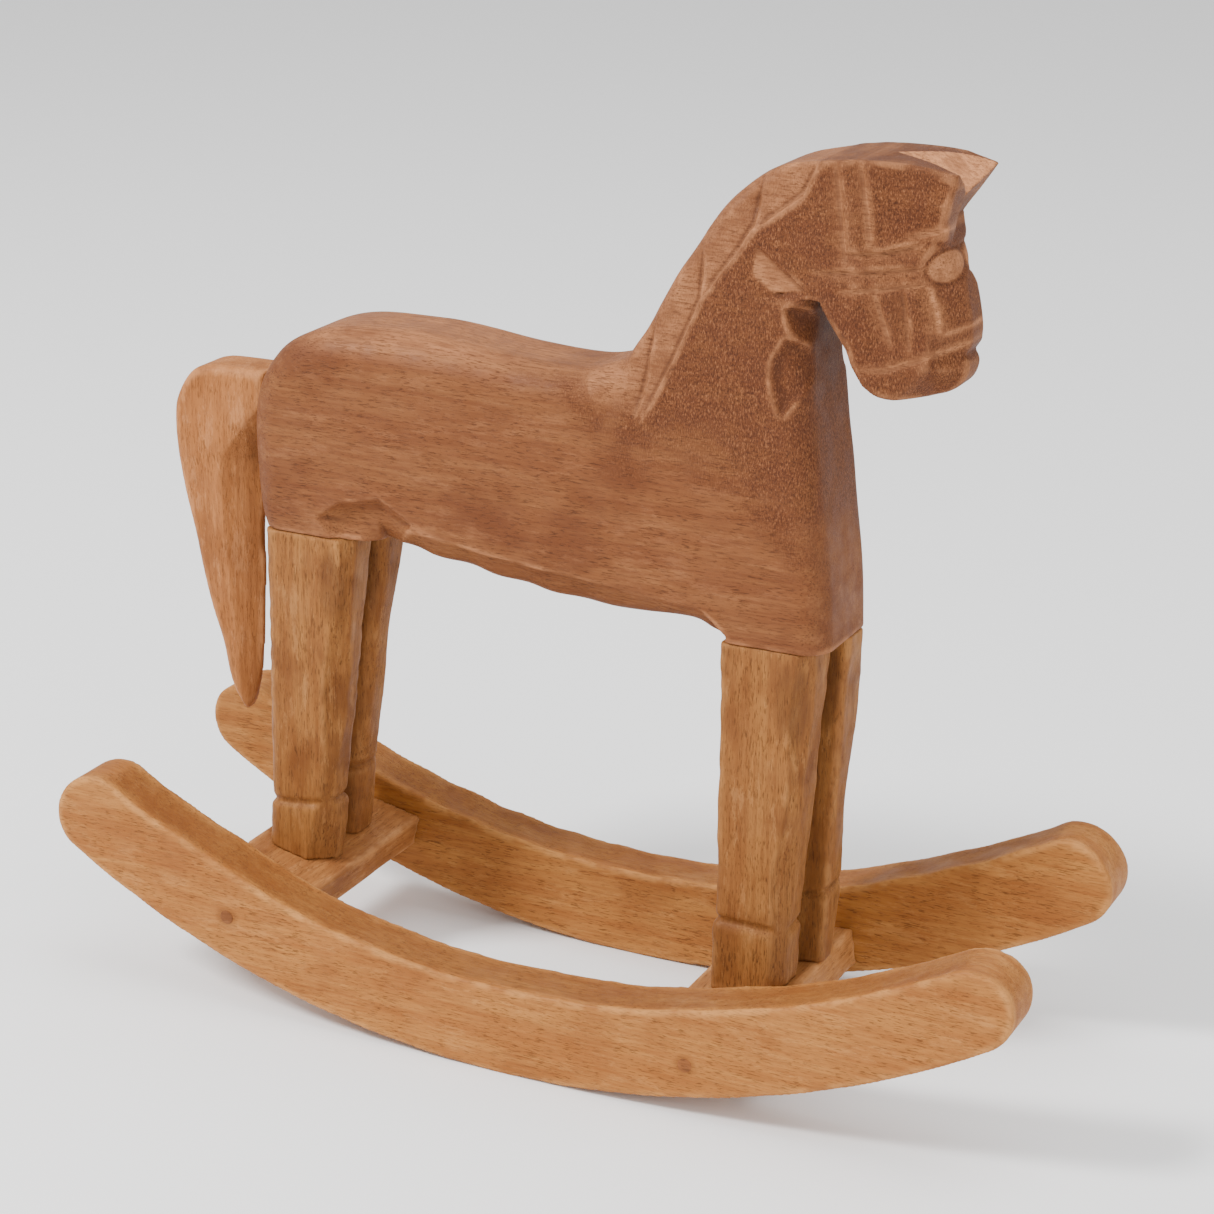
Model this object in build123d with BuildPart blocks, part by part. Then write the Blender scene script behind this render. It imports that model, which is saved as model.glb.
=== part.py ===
from build123d import *
from math import atan, cos, degrees, radians, sin, sqrt
import os

# A hand-carved wooden rocking horse, in millimetres. +X is forward, +Y is the horse's
# left, +Z is up. The origin is on the floor, under the middle of the two rockers.

# Rockers: two crescent runners, flat-sided, cut from plank.
rocker_length = 316.0
rocker_bottom_radius = 285.0
rocker_top_radius = 279.3
rocker_depth = 27.7          # height of the crescent at its middle
rocker_thickness = 19.0
rocker_overall_width = 113.0  # over the outer faces of the pair
rocker_nose_inset = 10.5     # how far back the rounded nose starts

# Cross boards: two boards between the rockers, each pitched with the crescent.
rear_board_x = -93.75
rear_board_pitch = 12.2      # degrees, rear edge high
rear_board_size = 32.2
rear_board_thickness = 10.8
rear_board_set_down = 7.8    # below the rockers' top edge, at the board's middle
front_board_x = 58.25
front_board_pitch = -9.0     # degrees, front edge high
front_board_size = 34.0
front_board_thickness = 12.0
front_board_set_down = 10.9

# Horse: one carving for torso, neck and head, standing a little left of the middle.
horse_y = 4.0
torso_width = 40.0
head_width = 30.0
head_shift = 2.0             # how far the head stands to the right of the torso's middle
head_depth = 62.0            # from the top of the head down to the chin
rear_seat_height = 143.5     # flat under the haunches, where the rear legs join
front_seat_height = 132.3    # flat under the chest, where the front legs join
back_height = 209.6
head_top_height = 277.2
rump_x = -110.5
rump_chamfer = (5.0, 12.0)   # under the buttocks: along X, along Z
chest_x = 81.0
withers_x = -6.0
withers_dip = 3.6            # below the top of the back
belly_rear_x = -64.0
belly_front_x = 47.0
back_round = 8.0             # along the crest, back and rump
chest_round = 6.0
belly_round = 3.0
ear_gap = 13.0               # width of the notch between the ears at its top
ear_gap_depth = 12.0
ear_gap_length = 30.0
ear_gap_mouth = (43.0, 5.0)  # ahead of the chest, and below the notch's own depth
ear_gap_slope = 0.45         # rise of the notch's floor towards the poll
muzzle_width = 18.0
muzzle_reach = (5.0, 35.0)   # ahead of the chest: where the narrowing starts and ends
muzzle_depth = 50.0
muzzle_below_chin = 10.0

# Legs: four tapered posts, wider at the top than at the hoof.
rear_leg_top = (31.0, 18.0)      # along X, along Y
rear_leg_foot = (19.0, 14.4)
front_leg_top = (28.4, 18.0)
front_leg_foot = (20.4, 14.0)
leg_edge_round = 2.4
leg_top_spread = 21.6        # between a pair's middles, under the body
leg_foot_spread = 25.0       # between a pair's middles, at the boards
rear_leg_top_x = {"right": -89.7, "left": -89.2}
rear_leg_foot_x = {"right": -94.4, "left": -97.4}
front_leg_top_x = {"right": 62.6, "left": 66.4}
front_leg_foot_x = {"right": 60.4, "left": 64.6}

# Tail: a thick curved blade, pinned to the rump and hanging free.
tail_root_height = 193.0
tail_root_drop = 22.7        # height of the face that meets the rump
tail_reach = 32.8            # how far it stands out behind the rump
tail_tip_height = 74.6
tail_tip_setback = 12.0      # how far the tip hangs behind the rump
tail_root_thickness = 18.0
tail_tip_thickness = 7.0

# Dowels: glued wooden pins, hidden inside the joints.
leg_dowel_diameter = 8.0
leg_dowel_length = 32.0
tail_dowel_diameter = 7.0
tail_dowel_length = 26.0
dowel_fit = 0.1              # radial gap for the glue
dowel_end_gap = 1.0          # left empty at each end of a dowel
dowel_chamfer = 0.8

# Hoof screws: countersunk wood screws, driven up through the boards.
hoof_screw_diameter = 3.6
hoof_screw_head = 7.2
hoof_screw_head_height = 2.2
hoof_screw_length = 28.0
hoof_screw_point = 4.0
screw_fit = 0.1
screw_end_gap = 1.0
screw_slot_width = 1.0
screw_slot_depth = 0.9

# Rocker nails: one through each rocker into each board's end, sunk and filled over.
nail_diameter = 2.4
nail_head_diameter = 3.6
nail_head_height = 1.2
nail_to_screw_gap = 1.2      # between a nail's point and the right hoof screw
nail_point = 3.0
nail_sink = 3.0              # depth of the filled pocket over a nail's head
nail_fit = 0.1
nail_end_gap = 1.0
filler_diameter = 4.4

SIDES = {"right": -1, "left": 1}
os.makedirs("parts", exist_ok=True)


def rocker_bottom_height(x):
    """Height of the rockers' bottom edge above the floor, at x."""
    return rocker_bottom_radius - sqrt(rocker_bottom_radius**2 - x**2)


def rocker_top_height(x):
    """Height of the rockers' top edge above the floor, at x."""
    return rocker_depth + rocker_top_radius - sqrt(rocker_top_radius**2 - x**2)


def side_plane(y):
    """A plane across the object at y, facing right, with x forward and y up."""
    return Plane(origin=(0, y, 0), x_dir=(1, 0, 0), z_dir=(0, -1, 0))


def point_taper(diameter, length):
    """Taper, in degrees, that brings a round bar down to a fifth of its diameter."""
    return degrees(atan(0.4 * diameter / length))


def board_plane(x, height, pitch):
    """The top face of a cross board: x runs down its pitch, z is its normal."""
    tilt = radians(pitch)
    return Plane(origin=(x, 0, height), x_dir=(cos(tilt), 0, -sin(tilt)), z_dir=(sin(tilt), 0, cos(tilt)))


rocker_inner_y = rocker_overall_width / 2 - rocker_thickness
right_screw_surface_y = horse_y - leg_foot_spread / 2 - hoof_screw_diameter / 2
nail_bite = rocker_inner_y + right_screw_surface_y - nail_to_screw_gap
nail_length = rocker_thickness - nail_sink + nail_bite
rear_board_height = rocker_top_height(rear_board_x) - rear_board_set_down
front_board_height = rocker_top_height(front_board_x) - front_board_set_down
rear_board_top = board_plane(rear_board_x, rear_board_height, rear_board_pitch)
front_board_top = board_plane(front_board_x, front_board_height, front_board_pitch)
BOARDS = {
    "rear": (rear_board_top, rear_board_size, rear_board_thickness),
    "front": (front_board_top, front_board_size, front_board_thickness),
}
LEGS = {
    "rear": (rear_leg_top_x, rear_leg_foot_x, rear_leg_top, rear_leg_foot, rear_seat_height),
    "front": (front_leg_top_x, front_leg_foot_x, front_leg_top, front_leg_foot, front_seat_height),
}

# Rockers, with a nail hole and its filled pocket at each board.
for side, sign in SIDES.items():
    nose_x = rocker_length / 2 - rocker_nose_inset
    nose_low = rocker_bottom_height(nose_x)
    nose_high = rocker_top_height(nose_x)
    nose_middle = (rocker_length / 2, (nose_low + nose_high) / 2)
    outer_y = sign * rocker_overall_width / 2
    with BuildPart() as rocker:
        with BuildSketch(side_plane(outer_y)):
            with BuildLine():
                ThreePointArc((-nose_x, nose_low), (0, 0), (nose_x, nose_low))
                ThreePointArc((nose_x, nose_low), nose_middle, (nose_x, nose_high))
                ThreePointArc((nose_x, nose_high), (0, rocker_depth), (-nose_x, nose_high))
                ThreePointArc((-nose_x, nose_high), (-nose_middle[0], nose_middle[1]), (-nose_x, nose_low))
            make_face()
        extrude(amount=sign * rocker_thickness)
        for plane, size, thickness in BOARDS.values():
            middle = plane.from_local_coords((0, 0, -thickness / 2))
            with BuildSketch(side_plane(outer_y)):
                with Locations((middle.X, middle.Z)):
                    Circle(filler_diameter / 2)
            extrude(amount=sign * nail_sink, mode=Mode.SUBTRACT)
            with BuildSketch(side_plane(outer_y)):
                with Locations((middle.X, middle.Z)):
                    Circle(nail_diameter / 2 + nail_fit)
            extrude(amount=sign * rocker_thickness, mode=Mode.SUBTRACT)
            with BuildSketch(side_plane(outer_y)):
                with Locations((middle.X, middle.Z)):
                    Circle(nail_head_diameter / 2 + nail_fit)
            extrude(amount=sign * (nail_sink + nail_head_height), mode=Mode.SUBTRACT)
    rocker.part.label = f"{side}_rocker"
    export_step(rocker.part, f"parts/{side}_rocker.step")

# Cross boards, butted between the rockers' inner faces.
for end, (plane, size, thickness) in BOARDS.items():
    nail_middle = plane.from_local_coords((0, 0, -thickness / 2))
    foot_x = LEGS[end][1]
    with BuildPart() as board:
        with BuildSketch(plane):
            Rectangle(size, 2 * rocker_inner_y)
        extrude(amount=-thickness)
        for side, sign in SIDES.items():
            with BuildSketch(side_plane(sign * rocker_inner_y)):
                with Locations((nail_middle.X, nail_middle.Z)):
                    Circle(nail_diameter / 2 + nail_fit)
            extrude(amount=sign * (nail_bite + nail_end_gap), mode=Mode.SUBTRACT)
            hoof_place = plane.to_local_coords(
                Vector(foot_x[side], horse_y + sign * leg_foot_spread / 2, plane.origin.Z)
            )
            underside = plane.offset(-thickness)
            with BuildSketch(underside):
                with Locations((hoof_place.X, hoof_place.Y)):
                    Circle(hoof_screw_diameter / 2 + screw_fit)
            extrude(amount=thickness, mode=Mode.SUBTRACT)
            with BuildSketch(underside):
                with Locations((hoof_place.X, hoof_place.Y)):
                    Circle(hoof_screw_head / 2 + screw_fit)
            with BuildSketch(underside.offset(hoof_screw_head_height)):
                with Locations((hoof_place.X, hoof_place.Y)):
                    Circle(hoof_screw_diameter / 2 + screw_fit)
            loft(mode=Mode.SUBTRACT)
    board.part.label = f"{end}_cross_board"
    export_step(board.part, f"parts/{end}_cross_board.step")

tail_joint = Plane(
    origin=(rump_x, horse_y, tail_root_height - tail_root_drop / 2), x_dir=(0, 1, 0), z_dir=(-1, 0, 0)
)
tip_x = rump_x - tail_tip_setback

# Horse: one block sawn to its side view, narrowed from torso to head in its front view,
# then rounded over, with a notch between the ears and a narrowed muzzle.
head_y = horse_y - head_shift
head_base_height = head_top_height - head_depth
neck_rise = head_top_height - back_height
chest_rise = head_base_height - front_seat_height


def over_back(x, share):
    """A point on the crest, a share of the way up from the back to the top of the head."""
    return (x, back_height + share * neck_rise)


def on_chest(x, share):
    """A point on the breast, a share of the way up from the front legs to the throat."""
    return (x, front_seat_height + share * chest_rise)


def on_head(x, drop):
    """A point on the head, a drop below its top."""
    return (x, head_top_height - drop)


def on_belly(x, rise):
    """A point on the belly, a rise above the line between the two leg seats."""
    share = (x - belly_rear_x) / (belly_front_x - belly_rear_x)
    return (x, rear_seat_height + share * (front_seat_height - rear_seat_height) + rise)


rump_foot_x = rump_x + rump_chamfer[0]
rump_foot_height = rear_seat_height + rump_chamfer[1]
with BuildPart() as body:
    with BuildSketch(side_plane(horse_y + torso_width / 2)):
        with BuildLine():
            Line((rump_foot_x, rear_seat_height), (belly_rear_x, rear_seat_height))
            Spline(
                (belly_rear_x, rear_seat_height),
                on_belly(-32, -0.8),
                on_belly(-5, -1.6),
                on_belly(20, -0.8),
                on_belly(36, 3.2),
                (belly_front_x, front_seat_height),
            )
            Line((belly_front_x, front_seat_height), (chest_x, front_seat_height))
            Spline(
                (chest_x, front_seat_height),
                on_chest(chest_x - 1.6, 0.25),
                on_chest(chest_x - 5.0, 0.58),
                on_chest(chest_x - 9.0, 0.9),
                on_head(71.0, 44.5),
            )
            Polyline(
                on_head(71.0, 44.5),
                on_head(79.8, 51.3),
                on_head(87.5, 63.0),
                on_head(92.0, 66.0),
                on_head(106.0, 66.6),
                on_head(115.0, 61.6),
                on_head(116.6, 50.0),
                on_head(114.2, 40.6),
                on_head(110.6, 30.3),
                on_head(106.4, 20.0),
                on_head(113.0, 2.5),
                on_head(100.0, 0.0),
                on_head(88.0, 0.0),
            )
            Spline(
                on_head(88.0, 0.0),
                on_head(66.0, 4.0),
                over_back(46.0, 0.79),
                over_back(24.0, 0.38),
                (withers_x, back_height - withers_dip),
                tangents=((-1, 0), (-1, 0)),
            )
            Spline(
                (withers_x, back_height - withers_dip),
                (-58.5, back_height),
                (rump_x, back_height - 26.0),
                tangents=((-1, 0), (0, -1)),
            )
            Line((rump_x, back_height - 26.0), (rump_x, rump_foot_height))
            Line((rump_x, rump_foot_height), (rump_foot_x, rear_seat_height))
        make_face()
    extrude(amount=torso_width)
    outline = body.edges().filter_by(Axis.Y, reverse=True)
    crest = outline.filter_by(
        lambda edge: edge.center().X < belly_front_x and edge.center().Z > rump_foot_height
    )
    fillet(crest, back_round)
    outline = body.edges().filter_by(Axis.Y, reverse=True)
    breast = outline.filter_by(
        lambda edge: edge.center().X > belly_front_x and edge.length > chest_rise / 2
    )
    fillet(breast, chest_round)
    outline = body.edges().filter_by(Axis.Y, reverse=True)
    mid_height = (back_height + rear_seat_height) / 2
    belly = outline.filter_by(
        lambda edge: belly_rear_x < edge.center().X < belly_front_x and edge.center().Z < mid_height
    )
    fillet(belly, belly_round)

    with BuildSketch(Plane.YZ):
        with BuildLine():
            Polyline(
                (horse_y - torso_width / 2, front_seat_height - 20),
                (horse_y + torso_width / 2, front_seat_height - 20),
                (horse_y + torso_width / 2, head_base_height),
                (head_y + head_width / 2, head_top_height + 1),
                (head_y - head_width / 2, head_top_height + 1),
                (horse_y - torso_width / 2, head_base_height),
                close=True,
            )
        make_face()
    extrude(amount=rocker_length, both=True, mode=Mode.INTERSECT)

    # The notch between the ears runs down and forward from the poll.
    notch_mouth = Plane(
        origin=(chest_x + ear_gap_mouth[0], head_y, head_top_height - ear_gap_depth - ear_gap_mouth[1]),
        x_dir=(0, 1, 0),
        z_dir=(-1, 0, ear_gap_slope),
    )
    with BuildSketch(notch_mouth):
        with BuildLine():
            Polyline((0, 0), (ear_gap, 2 * ear_gap_depth), (-ear_gap, 2 * ear_gap_depth), close=True)
        make_face()
    extrude(amount=ear_gap_length, mode=Mode.SUBTRACT)

    # The muzzle narrows from the cheeks to the lips.
    for sign in SIDES.values():
        with BuildSketch(Plane.XY.offset(head_base_height - muzzle_below_chin)):
            with BuildLine():
                Polyline(
                    (chest_x + muzzle_reach[0], head_y + sign * head_width),
                    (chest_x + muzzle_reach[0], head_y + sign * torso_width / 2),
                    (chest_x + muzzle_reach[1], head_y + sign * muzzle_width / 2),
                    (chest_x + muzzle_reach[1], head_y + sign * head_width),
                    close=True,
                )
            make_face()
        extrude(amount=muzzle_depth, mode=Mode.SUBTRACT)

    # Blind holes for the leg and tail dowels.
    for end, (top_x, foot_x, top_size, foot_size, seat_height) in LEGS.items():
        for side, sign in SIDES.items():
            with BuildSketch(Plane.XY.offset(seat_height)):
                with Locations((top_x[side], horse_y + sign * leg_top_spread / 2)):
                    Circle(leg_dowel_diameter / 2 + dowel_fit)
            extrude(amount=leg_dowel_length / 2 + dowel_end_gap, mode=Mode.SUBTRACT)
    with BuildSketch(tail_joint):
        Circle(tail_dowel_diameter / 2 + dowel_fit)
    extrude(amount=-(tail_dowel_length / 2 + dowel_end_gap), mode=Mode.SUBTRACT)
body.part.label = "body"
export_step(body.part, "parts/body.step")

# Legs: each leans from its seat under the body to its place on a cross board, its hoof
# cut to the board's pitch.
for end, (top_x, foot_x, top_size, foot_size, seat_height) in LEGS.items():
    plane, board_size, board_thickness = BOARDS[end]
    for side, sign in SIDES.items():
        top_y = horse_y + sign * leg_top_spread / 2
        foot_y = horse_y + sign * leg_foot_spread / 2
        screw_place = plane.to_local_coords(Vector(foot_x[side], foot_y, plane.origin.Z))
        screw_entry = Plane(
            origin=plane.from_local_coords((screw_place.X, screw_place.Y, -board_thickness)),
            x_dir=plane.x_dir,
            z_dir=plane.z_dir,
        )
        foot_height = plane.origin.Z - board_thickness
        with BuildPart() as leg:
            with BuildSketch(Plane.XY.offset(seat_height)):
                with Locations((top_x[side], top_y)):
                    RectangleRounded(*top_size, leg_edge_round)
            with BuildSketch(Plane.XY.offset(foot_height)):
                with Locations((foot_x[side], foot_y)):
                    RectangleRounded(*foot_size, leg_edge_round)
            loft()
            split(bisect_by=plane, keep=Keep.TOP)
            with BuildSketch(Plane.XY.offset(seat_height)):
                with Locations((top_x[side], top_y)):
                    Circle(leg_dowel_diameter / 2 + dowel_fit)
            extrude(amount=-(leg_dowel_length / 2 + dowel_end_gap), mode=Mode.SUBTRACT)
            with BuildSketch(screw_entry):
                Circle(hoof_screw_diameter / 2 + screw_fit)
            extrude(amount=hoof_screw_length + screw_end_gap, mode=Mode.SUBTRACT)
        leg.part.label = f"{side}_{end}_leg"
        export_step(leg.part, f"parts/{side}_{end}_leg.step")

        with BuildPart() as dowel:
            with BuildSketch(Plane.XY.offset(seat_height - leg_dowel_length / 2)):
                with Locations((top_x[side], top_y)):
                    Circle(leg_dowel_diameter / 2)
            extrude(amount=leg_dowel_length)
            chamfer(dowel.edges().filter_by(GeomType.CIRCLE), dowel_chamfer)
        dowel.part.label = f"{side}_{end}_leg_dowel"
        export_step(dowel.part, f"parts/{side}_{end}_leg_dowel.step")

        with BuildPart() as screw:
            with BuildSketch(screw_entry):
                Circle(hoof_screw_head / 2)
            with BuildSketch(screw_entry.offset(hoof_screw_head_height)):
                Circle(hoof_screw_diameter / 2)
            loft()
            with BuildSketch(screw_entry.offset(hoof_screw_head_height)):
                Circle(hoof_screw_diameter / 2)
            extrude(amount=hoof_screw_length - hoof_screw_head_height - hoof_screw_point)
            with BuildSketch(screw_entry.offset(hoof_screw_length - hoof_screw_point)):
                Circle(hoof_screw_diameter / 2)
            extrude(amount=hoof_screw_point, taper=point_taper(hoof_screw_diameter, hoof_screw_point))
            with BuildSketch(screw_entry):
                Rectangle(hoof_screw_head, screw_slot_width)
            extrude(amount=screw_slot_depth, mode=Mode.SUBTRACT)
        screw.part.label = f"{side}_{end}_hoof_screw"
        export_step(screw.part, f"parts/{side}_{end}_hoof_screw.step")

# Tail: sawn to its side view, thinned towards its tip in its rear view.
with BuildPart() as tail:
    root_x = rump_x
    back_x = root_x - tail_reach
    with BuildSketch(side_plane(horse_y + tail_root_thickness / 2)):
        with BuildLine():
            Line((root_x, tail_root_height - tail_root_drop), (root_x, tail_root_height))
            Spline(
                (root_x, tail_root_height),
                (root_x - 12.5, tail_root_height - 1.3),
                (root_x - 22.0, tail_root_height - 4.6),
                (back_x + 2.8, tail_root_height - 11.8),
                (back_x, tail_root_height - 19.0),
                (back_x + 1.0, tail_root_height - 35.0),
                (back_x + 8.9, tail_tip_height + 39.4),
                (tip_x - 3.0, tail_tip_height + 3.6),
            )
            ThreePointArc(
                (tip_x - 3.0, tail_tip_height + 3.6),
                (tip_x, tail_tip_height),
                (tip_x + 2.4, tail_tip_height + 3.6),
            )
            Spline(
                (tip_x + 2.4, tail_tip_height + 3.6),
                (tip_x + 5.4, tail_tip_height + 16.0),
                (tip_x + 6.4, tail_tip_height + 50.0),
                (root_x - 5.2, tail_root_height - tail_root_drop - 8.0),
                (root_x, tail_root_height - tail_root_drop),
            )
        make_face()
    extrude(amount=tail_root_thickness)
    with BuildSketch(Plane.YZ):
        with BuildLine():
            Polyline(
                (horse_y - tail_root_thickness / 2, tail_root_height + 1),
                (horse_y + tail_root_thickness / 2, tail_root_height + 1),
                (horse_y + tail_root_thickness / 2, tail_root_height - tail_root_drop),
                (horse_y + tail_tip_thickness / 2, tail_tip_height - 1),
                (horse_y - tail_tip_thickness / 2, tail_tip_height - 1),
                (horse_y - tail_root_thickness / 2, tail_root_height - tail_root_drop),
                close=True,
            )
        make_face()
    extrude(amount=rocker_length, both=True, mode=Mode.INTERSECT)
    with BuildSketch(tail_joint):
        Circle(tail_dowel_diameter / 2 + dowel_fit)
    extrude(amount=tail_dowel_length / 2 + dowel_end_gap, mode=Mode.SUBTRACT)
tail.part.label = "tail"
export_step(tail.part, "parts/tail.step")

with BuildPart() as tail_dowel:
    with BuildSketch(tail_joint.offset(-tail_dowel_length / 2)):
        Circle(tail_dowel_diameter / 2)
    extrude(amount=tail_dowel_length)
    chamfer(tail_dowel.edges().filter_by(GeomType.CIRCLE), dowel_chamfer)
tail_dowel.part.label = "tail_dowel"
export_step(tail_dowel.part, "parts/tail_dowel.step")

# Nails through the rockers into the boards' ends, and the filler over their heads.
for end, (plane, board_size, board_thickness) in BOARDS.items():
    middle = plane.from_local_coords((0, 0, -board_thickness / 2))
    for side, sign in SIDES.items():
        outer_y = sign * rocker_overall_width / 2
        nail_place = Plane(origin=(middle.X, outer_y, middle.Z), x_dir=(1, 0, 0), z_dir=(0, -sign, 0))
        with BuildPart() as nail:
            with BuildSketch(nail_place.offset(nail_sink)):
                Circle(nail_head_diameter / 2)
            extrude(amount=nail_head_height)
            with BuildSketch(nail_place.offset(nail_sink)):
                Circle(nail_diameter / 2)
            extrude(amount=nail_length - nail_point)
            with BuildSketch(nail_place.offset(nail_sink + nail_length - nail_point)):
                Circle(nail_diameter / 2)
            extrude(amount=nail_point, taper=point_taper(nail_diameter, nail_point))
        nail.part.label = f"{side}_{end}_rocker_nail"
        export_step(nail.part, f"parts/{side}_{end}_rocker_nail.step")

        with BuildPart() as filler:
            with BuildSketch(nail_place):
                Circle(filler_diameter / 2)
            extrude(amount=nail_sink)
        filler.part.label = f"{side}_{end}_nail_filler"
        export_step(filler.part, f"parts/{side}_{end}_nail_filler.step")
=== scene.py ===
# A small hand-carved wooden rocking horse, built up in the order it is put together:
# rockers, cross boards, nails, legs, screws, the carved horse, its dowels and its tail.
# Carved shapes are worked out in millimetres; every finished mesh is in metres.
import math

import bpy
import numpy as np
from mathutils import Matrix, Vector


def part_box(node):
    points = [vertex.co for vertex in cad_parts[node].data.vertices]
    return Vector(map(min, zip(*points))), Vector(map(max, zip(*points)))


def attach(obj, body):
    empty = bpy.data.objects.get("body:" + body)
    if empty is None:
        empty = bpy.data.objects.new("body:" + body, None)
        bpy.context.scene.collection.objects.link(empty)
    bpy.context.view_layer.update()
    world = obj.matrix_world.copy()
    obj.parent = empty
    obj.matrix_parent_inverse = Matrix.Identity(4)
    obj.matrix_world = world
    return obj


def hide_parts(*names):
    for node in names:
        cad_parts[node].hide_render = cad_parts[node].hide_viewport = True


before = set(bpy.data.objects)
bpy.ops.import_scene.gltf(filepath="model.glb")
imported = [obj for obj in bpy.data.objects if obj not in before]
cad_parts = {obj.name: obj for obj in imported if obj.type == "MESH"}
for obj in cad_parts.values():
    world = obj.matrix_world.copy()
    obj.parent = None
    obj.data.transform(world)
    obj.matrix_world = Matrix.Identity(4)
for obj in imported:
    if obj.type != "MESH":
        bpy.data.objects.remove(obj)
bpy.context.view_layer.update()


# -------------------- Rockers
# The two runners are crescents sawn from 19 mm plank, their noses rounded and their
# edges eased with a knife, so that the corners wander a little along their length.
mm = 0.001
rocker_bottom_radius = 285.0
rocker_top_radius = 279.3
rocker_depth = 27.7
rocker_nose_reach = 158.0
rocker_nose_height = 54.5
rocker_nose_slope = math.radians(33)
rocker_nose_round = 13.0
rocker_full_from = 62.0
rocker_nose_extra = {"right": 0.4, "left": 2.4}
rocker_cell = 0.8


def round_meet(first, second, radius):
    """Where two carved surfaces meet in an outer corner, rounded over to a radius."""
    over_first = np.maximum(first + radius, 0)
    over_second = np.maximum(second + radius, 0)
    return np.minimum(np.maximum(first, second), -radius) + np.hypot(over_first, over_second)


def sway(size, seed, *axes):
    """A slow, smooth unevenness from -1 to 1, as a hand tool leaves; size is its length."""
    draw = np.random.default_rng(seed)
    total = 0.0
    for strength in (0.5, 0.3, 0.2):
        turn = draw.normal(size=len(axes))
        turn *= 2 * math.pi * draw.uniform(0.7, 1.5) / size / np.linalg.norm(turn)
        shift = draw.uniform(0, 2 * math.pi)
        phase = sum(rate * axis for rate, axis in zip(turn, axes))
        total = total + strength * np.sin(phase + shift)
    return total


def block(low, high, cell):
    """Three axes of a block of wood, in millimetres, with a margin of three cells."""
    return [
        np.arange(a - 3 * cell, b + 3 * cell, cell, dtype=np.float32).reshape(shape)
        for a, b, shape in zip(low, high, ((-1, 1, 1), (1, -1, 1), (1, 1, -1)))
    ]


def soften(field, reach):
    """The field averaged over a small cube, reach cells to each side."""
    for axis in range(3):
        padded = np.pad(field, [(reach + 1, reach) if a == axis else (0, 0) for a in range(3)], mode="edge")
        summed = np.cumsum(padded, axis=axis, dtype=np.float64)
        upper = np.take(summed, range(2 * reach + 1, summed.shape[axis]), axis=axis)
        lower = np.take(summed, range(0, summed.shape[axis] - 2 * reach - 1), axis=axis)
        field = ((upper - lower) / (2 * reach + 1)).astype(np.float32)
    return field


def stand(name, data):
    """Puts a new object into the scene, at the origin."""
    item = bpy.data.objects.new(name, data)
    bpy.context.scene.collection.objects.link(item)
    return item


def carve(name, field, axes, cell, wear_reach=2.6):
    """Turns a field, negative inside the wood, into a mesh with an 'edge' attribute that
    is positive on worn outer edges and negative in cuts and hollows."""
    start = np.array([axis.ravel()[0] for axis in axes])
    inside = field < 0
    cells = tuple(n - 1 for n in field.shape)
    spots, weights, quads = [], [], []
    for along in range(3):
        first = [slice(None)] * 3
        second = [slice(None)] * 3
        first[along], second[along] = slice(0, -1), slice(1, None)
        a, b = field[tuple(first)], field[tuple(second)]
        crossing = np.argwhere(inside[tuple(first)] != inside[tuple(second)])
        value_a, value_b = a[tuple(crossing.T)], b[tuple(crossing.T)]
        place = crossing.astype(np.float64)
        place[:, along] += value_a / (value_a - value_b)
        u, v = (along + 1) % 3, (along + 2) % 3
        around = []
        for du, dv in ((-1, -1), (0, -1), (0, 0), (-1, 0)):
            corner = crossing.copy()
            corner[:, u] += du
            corner[:, v] += dv
            around.append(np.ravel_multi_index(tuple(corner.T), cells))
        around = np.stack(around, 1)
        spots.append(around.ravel())
        weights.append(np.repeat(place, 4, axis=0))
        leaving = value_a < 0
        quads.append(np.where(leaving[:, None], around, around[:, ::-1]))
    used, slot = np.unique(np.concatenate(spots), return_inverse=True)
    weights = np.concatenate(weights)
    count = np.bincount(slot)
    points = np.stack([np.bincount(slot, weights[:, k]) / count for k in range(3)], 1)
    faces = np.searchsorted(used, np.concatenate(quads))

    reach = max(1, round(wear_reach / cell))
    relief = (soften(field, reach) - field) / (reach * cell)
    corner_at = np.minimum(points.astype(int), np.array(field.shape) - 2)
    beyond = points - corner_at
    edge_marks = np.zeros(len(points))
    for corner in np.ndindex(2, 2, 2):
        share = np.prod(np.where(corner, beyond, 1 - beyond), axis=1)
        edge_marks += share * relief[tuple((corner_at + corner).T)]
    mesh = bpy.data.meshes.new(name)
    mesh.vertices.add(len(points))
    mesh.vertices.foreach_set("co", ((points * cell + start) * mm).astype(np.float32).ravel())
    mesh.loops.add(faces.size)
    mesh.loops.foreach_set("vertex_index", faces.astype(np.int32).ravel())
    mesh.polygons.add(len(faces))
    mesh.polygons.foreach_set("loop_start", np.arange(0, faces.size, 4, dtype=np.int32))
    mesh.polygons.foreach_set("use_smooth", np.ones(len(faces), bool))
    mesh.update(calc_edges=True)
    mesh.validate()
    edge = mesh.attributes.new("edge", "FLOAT", "POINT")
    edge.data.foreach_set("value", edge_marks.astype(np.float32))
    return stand(name, mesh)


def mark(piece, name, values):
    """Writes a number for every point of a piece, for its material to read."""
    attribute = piece.data.attributes.get(name) or piece.data.attributes.new(name, "FLOAT", "POINT")
    attribute.data.foreach_set("value", np.asarray(values, np.float32))


def points_of(piece):
    """The points of a piece, as three rows of millimetres."""
    flat = np.empty(3 * len(piece.data.vertices), np.float32)
    piece.data.vertices.foreach_get("co", flat)
    return flat.reshape(-1, 3).T / mm


def wear_of(piece):
    """The 'edge' numbers that carving left on a piece, one for each point."""
    edge_marks = np.empty(len(piece.data.vertices), np.float32)
    piece.data.attributes["edge"].data.foreach_get("value", edge_marks)
    return edge_marks


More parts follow.
